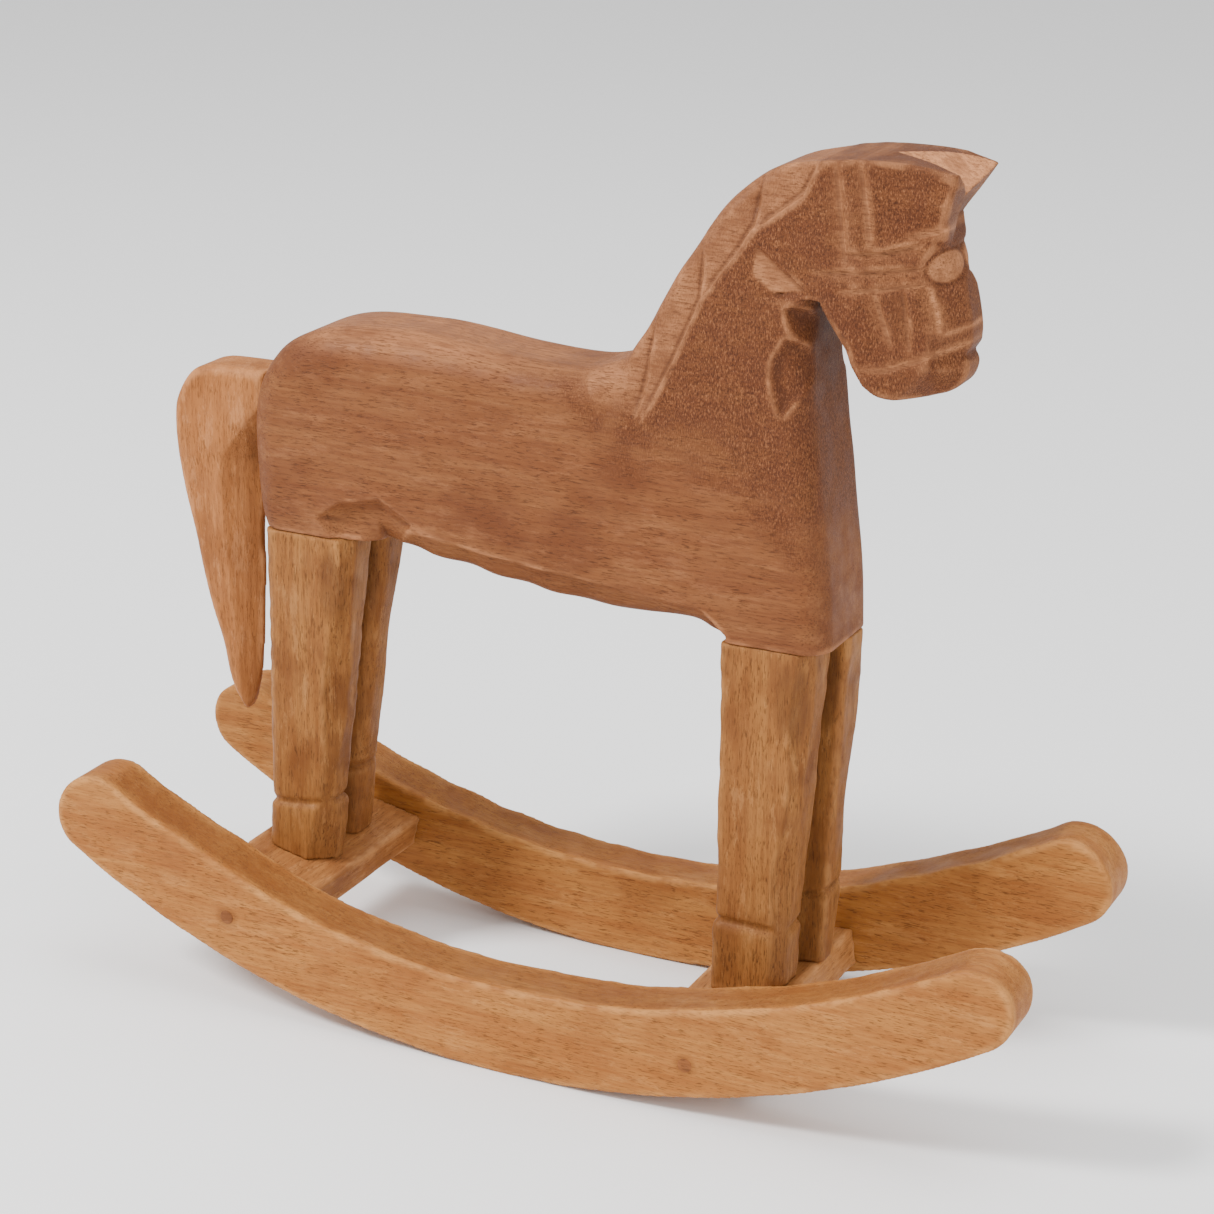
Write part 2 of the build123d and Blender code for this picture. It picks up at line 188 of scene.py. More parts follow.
def put(tree, value, socket):
    """Gives a node's socket a plain value, or links it to another socket."""
    if isinstance(value, bpy.types.NodeSocket):
        tree.links.new(value, socket)
    else:
        socket.default_value = value


def wood(
    name, light, middle, dark, grain="X", seed=0.0, stipple_height=None,
    worn=0.4, blotches=0.6, pale_gain=1.5, pore_depth=0.45, rub=0.25,
):
    """Waxed tropical hardwood: long figure, fine fibres and dark open pores along the grain,
    stained patches, darkening in the cuts that is partly stain gathered there and partly painted
    shade, paler cut wood and painted highlights where a piece marks them, and pale wear on the
    edges. Above stipple_height, in millimetres, the skin is dark and rough, but for cuts left bare."""
    material = bpy.data.materials.new(name)
    material.use_nodes = True
    tree = material.node_tree
    links = tree.links
    shader = tree.nodes["Principled BSDF"]

    def node(kind, **settings):
        made = tree.nodes.new(kind)
        for key, value in settings.items():
            setattr(made, key, value)
        return made

    place = node("ShaderNodeTexCoord").outputs["Object"]

    def noise(stretch, detail=3.0, roughness=0.55, distortion=0.0, shift=0.0):
        """Noise whose cell size along each axis is given in millimetres."""
        mapping = node("ShaderNodeMapping")
        mapping.inputs["Location"].default_value = (seed + shift, 0.37 * seed + shift, 0.71 * seed - shift)
        mapping.inputs["Scale"].default_value = [1 / (size * mm) for size in stretch]
        links.new(place, mapping.inputs["Vector"])
        texture = node("ShaderNodeTexNoise")
        settings = {"Scale": 1.0, "Detail": detail, "Roughness": roughness, "Distortion": distortion}
        for label, value in settings.items():
            texture.inputs[label].default_value = value
        links.new(mapping.outputs["Vector"], texture.inputs["Vector"])
        return texture.outputs["Fac"]

    def spread(value, low, high, to_low=0.0, to_high=1.0):
        ranged = node("ShaderNodeMapRange", interpolation_type="SMOOTHSTEP")
        for socket, number in zip(("From Min", "From Max", "To Min", "To Max"), (low, high, to_low, to_high)):
            put(tree, number, ranged.inputs[socket])
        put(tree, value, ranged.inputs["Value"])
        return ranged.outputs["Result"]

    def blend(share, first, second):
        mixed = node("ShaderNodeMix", data_type="RGBA")
        for slot, value in ((0, share), (6, first), (7, second)):
            put(tree, value, mixed.inputs[slot])
        return mixed.outputs[2]

    def combine(first, operation, second):
        made = node("ShaderNodeMath", operation=operation)
        put(tree, first, made.inputs[0])
        put(tree, second, made.inputs[1])
        return made.outputs[0]

    def times(first, second):
        return combine(first, "MULTIPLY", second)

    def lengthwise(long, across):
        return {"X": (long, across, across), "Y": (across, long, across), "Z": (across, across, long)}[grain]

    edge = node("ShaderNodeAttribute", attribute_name="edge").outputs["Fac"]
    bare = node("ShaderNodeAttribute", attribute_name="bare").outputs["Fac"]
    figure = noise(lengthwise(85, 7), detail=4, distortion=0.7)
    fibre = noise(lengthwise(16, 0.9), detail=3, shift=3.1)
    patches = noise((26, 26, 26), detail=3, roughness=0.6, shift=7.7)
    clouds = noise((9, 9, 9), detail=2, shift=1.3)
    pores = noise(lengthwise(3.0, 0.34), detail=2, shift=5.2)
    rubbed = noise(lengthwise(19, 5), detail=8, roughness=0.8, shift=9.4)
    pore = spread(pores, 0.55, 0.66)
    pore_share = times(pore, spread(clouds, 0.35, 0.6, 0.45, 1.0))
    almost_black = [c * 0.3 for c in dark[:3]] + [1]
    pale = [min(1, c * pale_gain * paler) for c, paler in zip(light, (1, 1.15, 1.5))] + [1]

    tone = blend(spread(figure, 0.33, 0.66), middle, light)
    tone = blend(times(spread(patches, 0.5, 0.68), blotches), tone, dark)
    # Paler where a piece is marked 'bare': bare cut wood, and on the horse painted highlights on its back, on
    # the steep walls of its cuts and on the rims of two hollows.
    tone = blend(times(bare, spread(clouds, 0.3, 0.6, 0.42, 0.8)), tone, pale)
    tone = blend(spread(fibre, 0.3, 0.75, 0.0, 0.5), tone, dark)
    tone = blend(times(spread(rubbed, 0.53, 0.62), rub), tone, pale)
    tone = blend(times(spread(rubbed, 0.46, 0.38), rub), tone, dark)
    tone = blend(times(pore_share, pore_depth), tone, almost_black)
    height = combine(times(fibre, 0.35), "SUBTRACT", pore_share)
    if stipple_height:
        bristle = noise((0.34, 0.34, 0.95), detail=2, roughness=0.65, shift=6.6)
        split = node("ShaderNodeSeparateXYZ")
        links.new(place, split.inputs[0])
        forward_up = combine(split.outputs["Z"], "ADD", times(split.outputs["X"], 0.5))
        wander = combine(forward_up, "ADD", times(patches, 0.06))
        turned = spread(wander, (stipple_height + 14) * mm, (stipple_height + 44) * mm)
        skin = times(turned, combine(1.0, "SUBTRACT", bare))
        tone = blend(times(skin, spread(clouds, 0.35, 0.65, 0.8, 0.5)), tone, dark)
        tone = blend(times(skin, spread(bristle, 0.5, 0.66, 0.0, 0.65)), tone, almost_black)
        tone = blend(times(skin, spread(bristle, 0.46, 0.32, 0.0, 0.24)), tone, pale)
        height = combine(height, "SUBTRACT", times(skin, spread(bristle, 0.4, 0.62)))
    edge_marks = times(spread(edge, 0.05, 0.26), spread(clouds, 0.4, 0.62, 0.15, 1.0))
    tone = blend(times(edge_marks, worn), tone, pale)
    # Darker where the 'edge' marks are negative: partly stain gathered in the cuts, partly painted shade in
    # cuts and hollows, on the rockers' tops and on the legs' upper fronts.
    stain_and_shade = spread(edge, -0.05, -0.3)
    tone = blend(times(stain_and_shade, 0.5), tone, [c * 0.6 for c in dark[:3]] + [1])
    links.new(tone, shader.inputs["Base Color"])
    links.new(spread(clouds, 0.3, 0.7, 0.52, 0.68), shader.inputs["Roughness"])

    bump = node("ShaderNodeBump")
    bump.inputs["Strength"].default_value = 0.55
    bump.inputs["Distance"].default_value = 0.18 * mm
    links.new(height, bump.inputs["Height"])
    links.new(bump.outputs["Normal"], shader.inputs["Normal"])
    shader.inputs["Specular IOR Level"].default_value = 0.16
    return material


rocker_wood = wood(
    "rocker_wood", light=(0.399, 0.166, 0.0402, 1), middle=(0.326, 0.12, 0.0268, 1),
    dark=(0.193, 0.0546, 0.0107, 1), seed=2.0, blotches=0.35, pore_depth=0.6, rub=0.2,
)


def above_top(x, y, z, sign, seed):
    """Height above a rocker's top face, which is fuller towards one end and uneven."""
    top = rocker_top_radius - np.hypot(x, z - rocker_depth - rocker_top_radius)
    top = top + 0.35 * sway(60, seed, x) + 0.25 * sway(21, seed + 1, x, y) + 0.05 * sway(7, seed + 4, x, y)
    return top - 2.5 * np.clip((sign * x - rocker_full_from) / 40, 0, 1) - 0.35 * (1 + sign)


for side, sign, seed in (("right", -1, 11), ("left", 1, 23)):
    low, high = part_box(f"{side}_rocker")
    rocker_middle = (low.y + high.y) / 2 / mm
    rocker_half = (high.y - low.y) / 2 / mm
    x, y, z = axes = block(low / mm, high / mm, rocker_cell)
    under = np.hypot(x, z - rocker_bottom_radius) - rocker_bottom_radius
    over = above_top(x, y, z, sign, seed)
    crescent = np.maximum(under, over)
    nose_reach = rocker_nose_reach + rocker_nose_extra[side] * (x < 0)
    nose = (np.abs(x) - nose_reach) * math.cos(rocker_nose_slope)
    nose = nose + (z - rocker_nose_height) * math.sin(rocker_nose_slope)
    crescent = round_meet(crescent, nose, rocker_nose_round)
    faces = np.abs(y - rocker_middle) - rocker_half + 0.12 + 0.12 * sway(45, seed + 2, x, z)
    rocker = round_meet(crescent, faces, 1.0 + 0.45 * sway(23, seed + 3, x) + 0.2 * sway(7, seed + 5, x))
    knife_facet = (x - 146) * 0.25 + (sign * (y - rocker_middle) - rocker_half) * 0.7 + over * 0.65
    rocker = np.where(x > 120, np.maximum(rocker, knife_facet + 2.2), rocker)
    piece = carve(f"{side}_rocker_carved", rocker.astype(np.float32), axes, rocker_cell)
    at_x, at_y, at_z = points_of(piece)
    edge_marks = wear_of(piece)
    # Painted shade: the top face of each rocker, back from its edges, is made darker than its sides.
    shaded_top = np.clip(above_top(at_x, at_y, at_z, sign, seed) + 1.2, 0, 1)
    edge_marks -= 0.22 * shaded_top * np.clip((rocker_half - 1 - np.abs(at_y - rocker_middle)) / 1.5, 0, 1)
    for end in ("rear", "front"):
        spot = sum(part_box(f"{side}_{end}_nail_filler"), Vector()) / 2 / mm
        from_spot = np.hypot(at_x - spot.x, at_z - spot.z)
        edge_marks -= 0.22 * np.clip((5.2 - from_spot) / 2.6, 0, 1) * (np.abs(at_y) > np.abs(rocker_middle))
    mark(piece, "edge", edge_marks)
    piece.data.materials.append(rocker_wood)
    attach(piece, "root")
    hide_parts(f"{side}_rocker")


# -------------------- Cross boards
# Two short boards are butted and glued between the rockers. Each is pitched with the
# crescent, so that the legs stand on a gently sloping face.
board_half_length = (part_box("rear_cross_board")[1].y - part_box("rear_cross_board")[0].y) / 2 / mm
board_round = 0.7
board_cell = 0.9
# name: middle of the top face along X and its height, pitch (rear edge high), width, thickness
boards = {
    "rear": (-93.75, 36.1, math.radians(12.2), 32.2, 10.8),
    "front": (58.25, 22.95, math.radians(-9.0), 34.0, 12.0),
}


def on_board(end, x, z):
    """Places on a cross board: along its pitch from its middle, and above its top face."""
    middle_x, height, pitch, _, _ = boards[end]
    forward = (x - middle_x) * math.cos(pitch) - (z - height) * math.sin(pitch)
    above = (x - middle_x) * math.sin(pitch) + (z - height) * math.cos(pitch)
    return forward, above


board_wood = wood(
    "board_wood", light=(0.416, 0.176, 0.053, 1), middle=(0.312, 0.12, 0.0345, 1),
    dark=(0.177, 0.0567, 0.0152, 1), grain="Y", seed=9.0, blotches=0.6,
)

for end, seed in (("rear", 31), ("front", 37)):
    low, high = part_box(f"{end}_cross_board")
    x, y, z = axes = block(low / mm, high / mm, board_cell)
    forward, above = on_board(end, x, z)
    width, thickness = boards[end][3:]
    edges = np.abs(forward) - width / 2 + 0.15 + 0.15 * sway(30, seed, y)
    faces = np.abs(above + thickness / 2) - thickness / 2 + 0.05 * sway(18, seed + 1, x, y)
    board = round_meet(edges, faces, board_round)
    board = np.maximum(board, np.abs(y) - board_half_length)
    piece = carve(f"{end}_cross_board_sawn", board, axes, board_cell)
    piece.data.materials.append(board_wood)
    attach(piece, "root")
    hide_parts(f"{end}_cross_board")


# -------------------- Nails and fillers
# One round-headed wire nail goes through each rocker into each end of a cross board. It
# is punched below the surface, and the hole over its head is filled with dark filler.
nail_sizes = {
    "Length": 24.0,
    "Shank radius": 1.2,
    "Head radius": 1.8,
    "Head height": 1.2,
    "Point length": 3.0,
}
filler_sizes = {"Radius": 2.2, "Proud": 0.12, "Depth": 3.0}


def repeat_tree(name, sizes, make):
    """Geometry Nodes that stand one made piece on every place, its own Z turned along the
    place's 'axis', with every size in millimetres as a named input."""
    tree = bpy.data.node_groups.new(name, "GeometryNodeTree")
    tree.interface.new_socket("Places", in_out="INPUT", socket_type="NodeSocketGeometry")
    for label, value in sizes.items():
        socket = tree.interface.new_socket(label, in_out="INPUT", socket_type="NodeSocketFloat")
        socket.default_value = value * mm
    tree.interface.new_socket("Material", in_out="INPUT", socket_type="NodeSocketMaterial")
    tree.interface.new_socket("Pieces", in_out="OUTPUT", socket_type="NodeSocketGeometry")
    given = tree.nodes.new("NodeGroupInput")

    def add(kind, settings=(), **inputs):
        made = tree.nodes.new(kind)
        for key, value in dict(settings).items():
            setattr(made, key, value)
        for label, value in inputs.items():
            put(tree, value, made.inputs[label.replace("_", " ")])
        return made.outputs[0]

    def amount(first, operation, second):
        made = tree.nodes.new("ShaderNodeMath")
        made.operation = operation
        put(tree, first, made.inputs[0])
        put(tree, second, made.inputs[1])
        return made.outputs[0]

    def join(*parts):
        joined = tree.nodes.new("GeometryNodeJoinGeometry")
        for part in reversed(parts):
            tree.links.new(part, joined.inputs[0])
        return joined.outputs[0]

    def raised(shape, rise):
        return add("GeometryNodeTransform", Geometry=shape, Translation=add("ShaderNodeCombineXYZ", Z=rise))

    def lathe(bottom, top, depth, rise=0.0, sides=24):
        """A cone or cylinder standing on its end, raised by an amount."""
        cone = add("GeometryNodeMeshCone", Vertices=sides, Radius_Bottom=bottom, Radius_Top=top, Depth=depth)
        return raised(cone, rise)

    one = make(given.outputs, add, amount, join, raised, lathe)
    axis = add("GeometryNodeInputNamedAttribute", {"data_type": "FLOAT_VECTOR"}, Name="axis")
    turn = add("FunctionNodeAlignRotationToVector", {"axis": "Z"}, Vector=axis)
    places = given.outputs["Places"]
    spread_out = add("GeometryNodeInstanceOnPoints", Points=places, Instance=one, Rotation=turn)
    real = add("GeometryNodeRealizeInstances", Geometry=spread_out)
    dressed = add("GeometryNodeSetMaterial", Geometry=real, Material=given.outputs["Material"])
    tree.links.new(dressed, tree.nodes.new("NodeGroupOutput").inputs[0])
    return tree


def bake(piece, modifier):
    """Applies a modifier, so that the piece is a plain mesh."""
    baked = bpy.data.meshes.new_from_object(piece.evaluated_get(bpy.context.evaluated_depsgraph_get()))
    piece.modifiers.remove(modifier)
    piece.data = baked


def repeat(name, tree, places, sizes, material):
    """Runs a tree on a list of (place, axis), both in millimetres, and keeps a plain mesh."""
    mesh = bpy.data.meshes.new(name)
    mesh.from_pydata([Vector(place) * mm for place, _ in places], [], [])
    direction = mesh.attributes.new("axis", "FLOAT_VECTOR", "POINT")
    direction.data.foreach_set("vector", np.array([axis for _, axis in places], np.float32).ravel())
    piece = stand(name, mesh)
    modifier = piece.modifiers.new(name, "NODES")
    modifier.node_group = tree
    for socket in tree.interface.items_tree:
        if socket.in_out == "INPUT" and socket.name in sizes:
            modifier[socket.identifier] = sizes[socket.name] * mm
        if socket.in_out == "INPUT" and socket.name == "Material":
            modifier[socket.identifier] = material
    bake(piece, modifier)
    return piece


def steel(name, colour, roughness):
    """Zinc-dulled steel, mottled with a little brown."""
    material = bpy.data.materials.new(name)
    material.use_nodes = True
    nodes, links = material.node_tree.nodes, material.node_tree.links
    coordinates = nodes.new("ShaderNodeTexCoord")
    stain = nodes.new("ShaderNodeTexNoise")
    stain.inputs["Scale"].default_value = 900
    links.new(coordinates.outputs["Object"], stain.inputs["Vector"])
    ramp = nodes.new("ShaderNodeValToRGB")
    ramp.color_ramp.elements[0].color = (0.2, 0.13, 0.08, 1)
    ramp.color_ramp.elements[0].position = 0.3
    ramp.color_ramp.elements[1].color = colour
    ramp.color_ramp.elements[1].position = 0.5
    links.new(stain.outputs["Fac"], ramp.inputs["Fac"])
    shader = nodes["Principled BSDF"]
    links.new(ramp.outputs["Color"], shader.inputs["Base Color"])
    shader.inputs["Metallic"].default_value = 0.9
    shader.inputs["Roughness"].default_value = roughness
    return material


def make_nail(size, add, amount, join, raised, lathe):
    """A nail driven along its own Z: flat head, straight shank, cut point."""
    head = lathe(size["Head radius"], size["Head radius"], size["Head height"])
    shank_length = amount(size["Length"], "SUBTRACT", size["Point length"])
    shank = lathe(size["Shank radius"], size["Shank radius"], shank_length)
    tip = amount(size["Shank radius"], "MULTIPLY", 0.12)
    point = lathe(size["Shank radius"], tip, size["Point length"], rise=shank_length, sides=4)
    return join(head, shank, point)


nail_steel = steel("nail_steel", (0.42, 0.41, 0.4, 1), 0.45)
nail_tree = repeat_tree("wire_nail", nail_sizes, make_nail)
nail_places, filler_places = [], []
for side, sign in (("right", -1), ("left", 1)):
    for end in ("rear", "front"):
        low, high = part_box(f"{side}_{end}_rocker_nail")
        middle = (low + high) / 2 / mm
        nail_places.append(((middle.x, (low.y if sign < 0 else high.y) / mm, middle.z), (0, -sign, 0)))
        nail_sizes["Length"] = (high.y - low.y) / mm
        low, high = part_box(f"{side}_{end}_nail_filler")
        middle = (low + high) / 2 / mm
        outer_y = (low.y if sign < 0 else high.y) / mm + sign * filler_sizes["Proud"]
        filler_places.append(((middle.x, outer_y, middle.z), (0, -sign, 0)))
piece = repeat("rocker_nails", nail_tree, nail_places, nail_sizes, nail_steel)
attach(piece, "root")
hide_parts(*[f"{side}_{end}_rocker_nail" for side in ("right", "left") for end in ("rear", "front")])


def make_filler(size, add, amount, join, raised, lathe):
    """A plug of filler, wiped off a little domed."""
    inner = amount(size["Radius"], "MULTIPLY", 0.8)
    cap = lathe(inner, size["Radius"], size["Proud"], sides=18)
    return join(cap, lathe(size["Radius"], size["Radius"], size["Depth"], rise=size["Proud"], sides=18))


filler_tree = repeat_tree("filler_plug", filler_sizes, make_filler)
filler_material = wood(
    "dark_filler", light=(0.26, 0.09, 0.026, 1), middle=(0.2, 0.066, 0.018, 1),
    dark=(0.1, 0.032, 0.009, 1), seed=13.0, blotches=0.7,
)
piece = repeat("nail_fillers", filler_tree, filler_places, filler_sizes, filler_material)
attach(piece, "root")
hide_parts(*[f"{side}_{end}_nail_filler" for side in ("right", "left") for end in ("rear", "front")])


# -------------------- Legs
# Four posts whittled square in section, wider at the top than at the hoof, with a knife
# cut round each one that marks off the hoof. Each leans from its seat to its board.
leg_cell = 0.8
leg_corner = {"rear": 5.0, "front": 2.2}
hoof_cut_width = 1.7
hoof_cut_depth = 0.9
hoof_swell = 0.6
horse_y = 4.0
# end: half sizes at the top and at the hoof (along X, along Y), height of the seat
leg_sizes = {
    "rear": ((15.5, 9.0), (9.5, 7.2), 143.5),
    "front": ((14.2, 9.0), (10.2, 7.0), 132.3),
}
# side and end: top x, hoof x, height of the hoof cut, and its slope towards the front
leg_places = {
    ("right", "rear"): (-89.7, -94.4, 54.5, 0.1),
    ("left", "rear"): (-89.2, -97.4, 57.0, 0.25),
    ("right", "front"): (62.6, 60.4, 44.8, -0.03),
    ("left", "front"): (66.4, 64.6, 46.5, 0.3),
}
leg_top_spread = 10.8
leg_foot_spread = 12.5

leg_wood = wood(
    "leg_wood", light=(0.293, 0.12, 0.0311, 1), middle=(0.236, 0.0874, 0.0216, 1),
    dark=(0.128, 0.0386, 0.00874, 1), grain="Z", seed=5.0, blotches=0.6, pore_depth=0.6, rub=0.32,
)

for seed, ((side, end), (top_x, hoof_x, cut_height, cut_slope)) in enumerate(leg_places.items(), 41):
    sign = 1 if side == "left" else -1
    (top_half_x, top_half_y), (hoof_half_x, hoof_half_y), seat = leg_sizes[end]
    low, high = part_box(f"{side}_{end}_leg")
    x, y, z = axes = block(low / mm - Vector((2, 2, 0)), high / mm + Vector((2, 2, 0)), leg_cell)
    foot = boards[end][1] - boards[end][4]
    up_leg = (z - foot) / (seat - foot)
    middle_x = hoof_x + (top_x - hoof_x) * up_leg
    middle_y = horse_y + sign * (leg_foot_spread + (leg_top_spread - leg_foot_spread) * up_leg)
    half_x = hoof_half_x + (top_half_x - hoof_half_x) * up_leg
    half_y = hoof_half_y + (top_half_y - hoof_half_y) * up_leg
    below_cut = cut_height + cut_slope * (x - middle_x) - z
    swell = hoof_swell * np.clip(below_cut / 3, 0, 1) * np.clip((below_cut + 26) / 30, 0, 1)
    cut = hoof_cut_depth * np.clip(1 - np.abs(below_cut) / hoof_cut_width, 0, 1)
    hewn = 0.35 * sway(38, seed, z, x) + 0.2 * sway(15, seed + 9, z, y)
    across = np.abs(x - middle_x) - half_x + cut - swell + hewn
    through = np.abs(y - middle_y) - half_y + cut - swell + 0.3 * sway(33, seed + 5, z, y)
    corner = leg_corner[end] + 0.7 * sway(40, seed + 3, z) + 0.4 * sway(9, seed + 6, z)
    leg = round_meet(across, through, corner)
    chamfer = (x - middle_x - half_x) * 0.8 + (sign * (y - middle_y) - half_y) * 0.6
    leg = np.maximum(leg, chamfer + 3.4 + 1.3 * sway(70, seed + 4, z))
    leg = round_meet(leg, z - seat, 0.6)
    leg = np.maximum(leg, -on_board(end, x, z)[1])
    piece = carve(f"{side}_{end}_leg_carved", leg, axes, leg_cell)
    at_x, at_y, at_z = points_of(piece)
    # Painted shade: a dark patch near the front of each leg, some 16 mm below the body. The top 3 mm of the
    # leg, where it meets the body, are darkened too.
    from_shade_patch = np.hypot((at_x - top_x - 0.6 * top_half_x) / 4, (at_z - seat + 16) / 13)
    edge_marks = wear_of(piece) - 0.42 * np.clip(1.5 - from_shade_patch, 0, 1)
    mark(piece, "edge", edge_marks - 0.2 * np.clip((at_z - seat + 3) / 3, 0, 1))
    piece.data.materials.append(leg_wood)
    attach(piece, "root")
    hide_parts(f"{side}_{end}_leg")


# -------------------- Hoof screws
# One slotted countersunk screw comes up through a cross board into each hoof, its head
# flush with the board's underside and its threaded shank square to the board.
screw_sizes = {
    "Length": 28.0,
    "Shank radius": 1.8,
    "Head radius": 3.6,
    "Head height": 2.2,
    "Point length": 4.0,
    "Slot width": 1.0,
    "Slot depth": 0.9,
    "Thread pitch": 1.4,
}


def make_screw(size, add, amount, join, raised, lathe):
    """A screw driven along its own Z: slotted cone of a head, cored shank, thread, point."""
    whole_head = lathe(size["Head radius"], size["Shank radius"], size["Head height"], sides=32)
    slot_length = amount(size["Head radius"], "MULTIPLY", 4.0)
    slot_height = amount(size["Slot depth"], "MULTIPLY", 2.0)
    slot_size = add("ShaderNodeCombineXYZ", X=slot_length, Y=size["Slot width"], Z=slot_height)
    slot = add("GeometryNodeMeshCube", Size=slot_size)
    head = add("GeometryNodeMeshBoolean", {"operation": "DIFFERENCE"}, Mesh_1=whole_head, Mesh_2=slot)
    bare_length = amount(size["Point length"], "ADD", size["Head height"])
    thread_length = amount(size["Length"], "SUBTRACT", bare_length)
    core_radius = amount(size["Shank radius"], "MULTIPLY", 0.78)
    core = lathe(core_radius, core_radius, thread_length, rise=size["Head height"], sides=16)
    point_at = amount(size["Length"], "SUBTRACT", size["Point length"])
    tip = amount(core_radius, "MULTIPLY", 0.08)
    point = lathe(core_radius, tip, size["Point length"], rise=point_at, sides=16)
    turns = amount(thread_length, "DIVIDE", size["Thread pitch"])
    thread_radius = amount(size["Shank radius"], "MULTIPLY", 0.84)
    spiral = add(
        "GeometryNodeCurveSpiral", Resolution=14, Rotations=turns, Height=thread_length,
        Start_Radius=thread_radius, End_Radius=thread_radius,
    )
    ridge_radius = amount(size["Shank radius"], "MULTIPLY", 0.15)
    ridge = add("GeometryNodeCurvePrimitiveCircle", Resolution=4, Radius=ridge_radius)
    thread = add("GeometryNodeCurveToMesh", Curve=spiral, Profile_Curve=ridge)
    return join(head, core, point, raised(thread, size["Head height"]))


screw_steel = steel("screw_steel", (0.5, 0.49, 0.47, 1), 0.35)
screw_tree = repeat_tree("slotted_screw", screw_sizes, make_screw)
screw_places = []
for side, end in leg_places:
    low, high = (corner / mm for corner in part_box(f"{side}_{end}_hoof_screw"))
    pitch = boards[end][2]
    reach = screw_sizes["Head radius"] * math.cos(pitch)
    head_x = low.x + reach if pitch > 0 else high.x - reach
    head_z = low.z + screw_sizes["Head radius"] * abs(math.sin(pitch))
    screw_places.append(((head_x, (low.y + high.y) / 2, head_z), (math.sin(pitch), 0, math.cos(pitch))))
piece = repeat("hoof_screws", screw_tree, screw_places, screw_sizes, screw_steel)
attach(piece, "root")
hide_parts(*[f"{side}_{end}_hoof_screw" for side, end in leg_places])


# -------------------- Horse
# Torso, neck and head are one block: sawn to its side view, rounded over, then relieved
# with a knife. The mane, headstall, eye, cheek strokes and ears are all plain cuts.
horse_cell = 0.62
rump_x = -110.5
chest_x = 80.8
rear_seat = 143.5
front_seat = 132.3
seat_spare = 12.0
torso_half = 20.0
head_middle_y = 2.0
face_half = 5.0

# The side view, as runs of smooth line that meet in corners: forward distance, height.
side_view = [
    # buttocks, rump, back and crest, as far as the poll
    [(-105.5, rear_seat), (-108.2, 152), (-110.2, 164), (rump_x, 177), (-108.5, 188.5), (-101.5, 199.5),
     (-90, 206), (-75.6, 208.9), (-58.5, 209.6), (-41.5, 208.4), (-24.8, 206.6), (-8.3, 205.8), (2.5, 206.6),
     (11.6, 210.6), (18.6, 219.4), (26, 232.8), (33.8, 246), (41.2, 257.4), (50.2, 266.4), (60.4, 272),
     (73.5, 275.2)],
    # poll and the ears' upper rims
    [(73.5, 275.2), (83, 276.4), (94, 276.6), (104, 275.9), (113.4, 273.8)],
    # the ears' front edges
    [(113.4, 273.8), (108.6, 266.5), (104.4, 259.8)],
    # face, down to the upper lip
    [(104.4, 259.8), (107.8, 253.5), (110.9, 246.5), (113.2, 239), (114.8, 231), (114.9, 226.2)],
    # mouth
    [(114.9, 226.2), (113.2, 223.4)],
    # lower lip and chin
    [(113.2, 223.4), (114.6, 220), (112.8, 215.2), (107.2, 211.6), (98.8, 210.2), (92, 210.8), (87.6, 213.6)],
    # jaw
    [(87.6, 213.6), (80, 225.6), (71.6, 236)],
    # throat and breast
    [(71.6, 236), (70.6, 224), (71.4, 210), (73, 195.4), (75.6, 181), (78.4, 160), (80, 145),
     (chest_x, front_seat)],
    # spare wood under the chest, sawn off at the seat of the front legs
    [(chest_x, front_seat), (chest_x, front_seat - seat_spare)],
    [(chest_x, front_seat - seat_spare), (48.5, front_seat - seat_spare)],
    [(48.5, front_seat - seat_spare), (48.5, front_seat)],
    # belly
    [(48.5, front_seat), (44, 134.2), (38.5, 136.8), (24, 135.7), (8, 135.2), (-12, 136.6), (-32, 139.7),
     (-52.5, 142.6), (-66, 143.7)],
    # spare wood under the haunches, sawn off at the seat of the rear legs
    [(-66, 143.7), (-66, rear_seat - seat_spare)],
    [(-66, rear_seat - seat_spare), (-105.5, rear_seat - seat_spare)],
    [(-105.5, rear_seat - seat_spare), (-105.5, rear_seat)],
]


def smooth_line(knots, steps=6):
    """Points along a smooth curve through the knots."""
    knots = np.array(knots, float)
    ends = np.vstack([2 * knots[0] - knots[1], knots, 2 * knots[-1] - knots[-2]])
    share = np.arange(steps)[:, None] / steps
    spans = []
    for before, start, finish, after in zip(ends, ends[1:], ends[2:], ends[3:]):
        bend = 2 * before - 5 * start + 4 * finish - after
        twist = -before + 3 * start - 3 * finish + after
        spans.append(start + 0.5 * share * ((finish - before) + share * (bend + share * twist)))
    return np.vstack(spans + [knots[-1:]])


def from_line(line, x, z):
    """Distance from a line of points, how far along it the nearest place is, 0 to 1, and
    which side of it that is: positive to the left of the line's direction."""
    line = np.array(line, float)
    lengths = np.hypot(*(line[1:] - line[:-1]).T)
    walked = np.concatenate([[0], np.cumsum(lengths)]) / lengths.sum()
    best = np.full(np.broadcast(x, z).shape, 1e9, np.float32)
    share = np.zeros_like(best)
    side = np.zeros_like(best)
    for (ax, az), (bx, bz), start, finish in zip(line[:-1], line[1:], walked[:-1], walked[1:]):
        dx, dz = bx - ax, bz - az
        t = np.clip(((x - ax) * dx + (z - az) * dz) / (dx * dx + dz * dz), 0, 1)
        distance = np.hypot(x - ax - t * dx, z - az - t * dz)
        nearer = distance < best
        best = np.where(nearer, distance, best)
        share = np.where(nearer, start + t * (finish - start), share)
        side = np.where(nearer, np.sign(dx * (z - az) - dz * (x - ax)), side)
    return best, share, side


